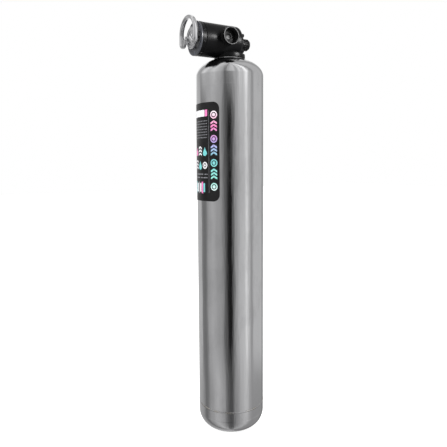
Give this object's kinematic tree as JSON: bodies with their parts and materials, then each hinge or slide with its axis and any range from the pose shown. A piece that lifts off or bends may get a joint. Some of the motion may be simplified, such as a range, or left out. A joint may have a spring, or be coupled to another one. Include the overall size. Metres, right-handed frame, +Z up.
{
  "type": "media filter pressure vessel with manual valve",
  "caption": "Tall round stainless pressure vessel with dished heads, a plastic rotary valve lying across its neck, side ports, a drain union and a turning chrome loop handle.",
  "frame": {"origin": "middle of the vessel's flat underside, on its axis", "axes": "+Z up along the vessel; -Y towards the valve's handle; +X towards the inlet port"},
  "size_m": [0.2042, 0.2452, 1.2505],
  "materials": {
    "tank_steel": "polished stainless steel with faint vertical polishing lines",
    "weld_steel": "ground weld bead",
    "chrome": "bright chrome plate",
    "valve_plastic": "fine-textured black moulded plastic",
    "nut_plastic": "fine-textured black moulded plastic",
    "dial_plastic": "pale blue-grey moulded plastic",
    "label_film": "printed satin film",
    "pipe_plastic": "white pipe plastic",
    "strainer_plastic": "blue slotted plastic",
    "gravel": "loose quartz gravel",
    "media": "loose filter grains",
    "ceramic": "lapped white ceramic",
    "rubber": "matt black rubber",
    "nylon": "natural nylon",
    "screw_steel": "bright screw steel",
    "dark_screw": "blackened steel"
  },
  "bodies": {
    "vessel": {"tank_barrel": "tank_steel", "top_head": "tank_steel", "bottom_head": "tank_steel", "neck_ring": "tank_steel", "lower_girth_weld": "weld_steel", "upper_girth_weld": "weld_steel", "front_label": "label_film", "riser_pipe": "pipe_plastic", "bottom_strainer": "strainer_plastic", "strainer_cap": "strainer_plastic", "top_strainer": "strainer_plastic", "gravel_bed": "gravel", "filter_media": "media", "valve_body": "valve_plastic", "neck_seal": "rubber", "riser_seal": "rubber", "bonnet": "valve_plastic", "bonnet_seal": "rubber", "bonnet_nut": "nut_plastic", "spindle_seal": "rubber", "dial_plate": "dial_plastic", "dial_screw_1": "screw_steel", "dial_screw_2": "screw_steel", "dial_screw_3": "screw_steel", "disc_gasket": "rubber", "fixed_disc": "ceramic", "friction_washer": "nylon", "cover_gasket": "rubber", "rear_cover": "valve_plastic", "cover_screw_1": "dark_screw", "cover_screw_2": "dark_screw", "cover_screw_3": "dark_screw", "cover_screw_4": "dark_screw", "drain_washer": "rubber", "drain_tail": "valve_plastic", "drain_nut": "nut_plastic"},
    "handle": {"spindle": "pipe_plastic", "moving_disc": "ceramic", "hub_plate": "chrome", "hub_nut": "chrome", "handle_loop": "chrome"}
  },
  "joints": [
    {"name": "handle_turn", "type": "hinge", "parent": "vessel", "child": "handle", "pos_m": [0, -0.1, 1.1875], "axis": [0, -1, 0], "range_deg": [-90, 90]}
  ]
}
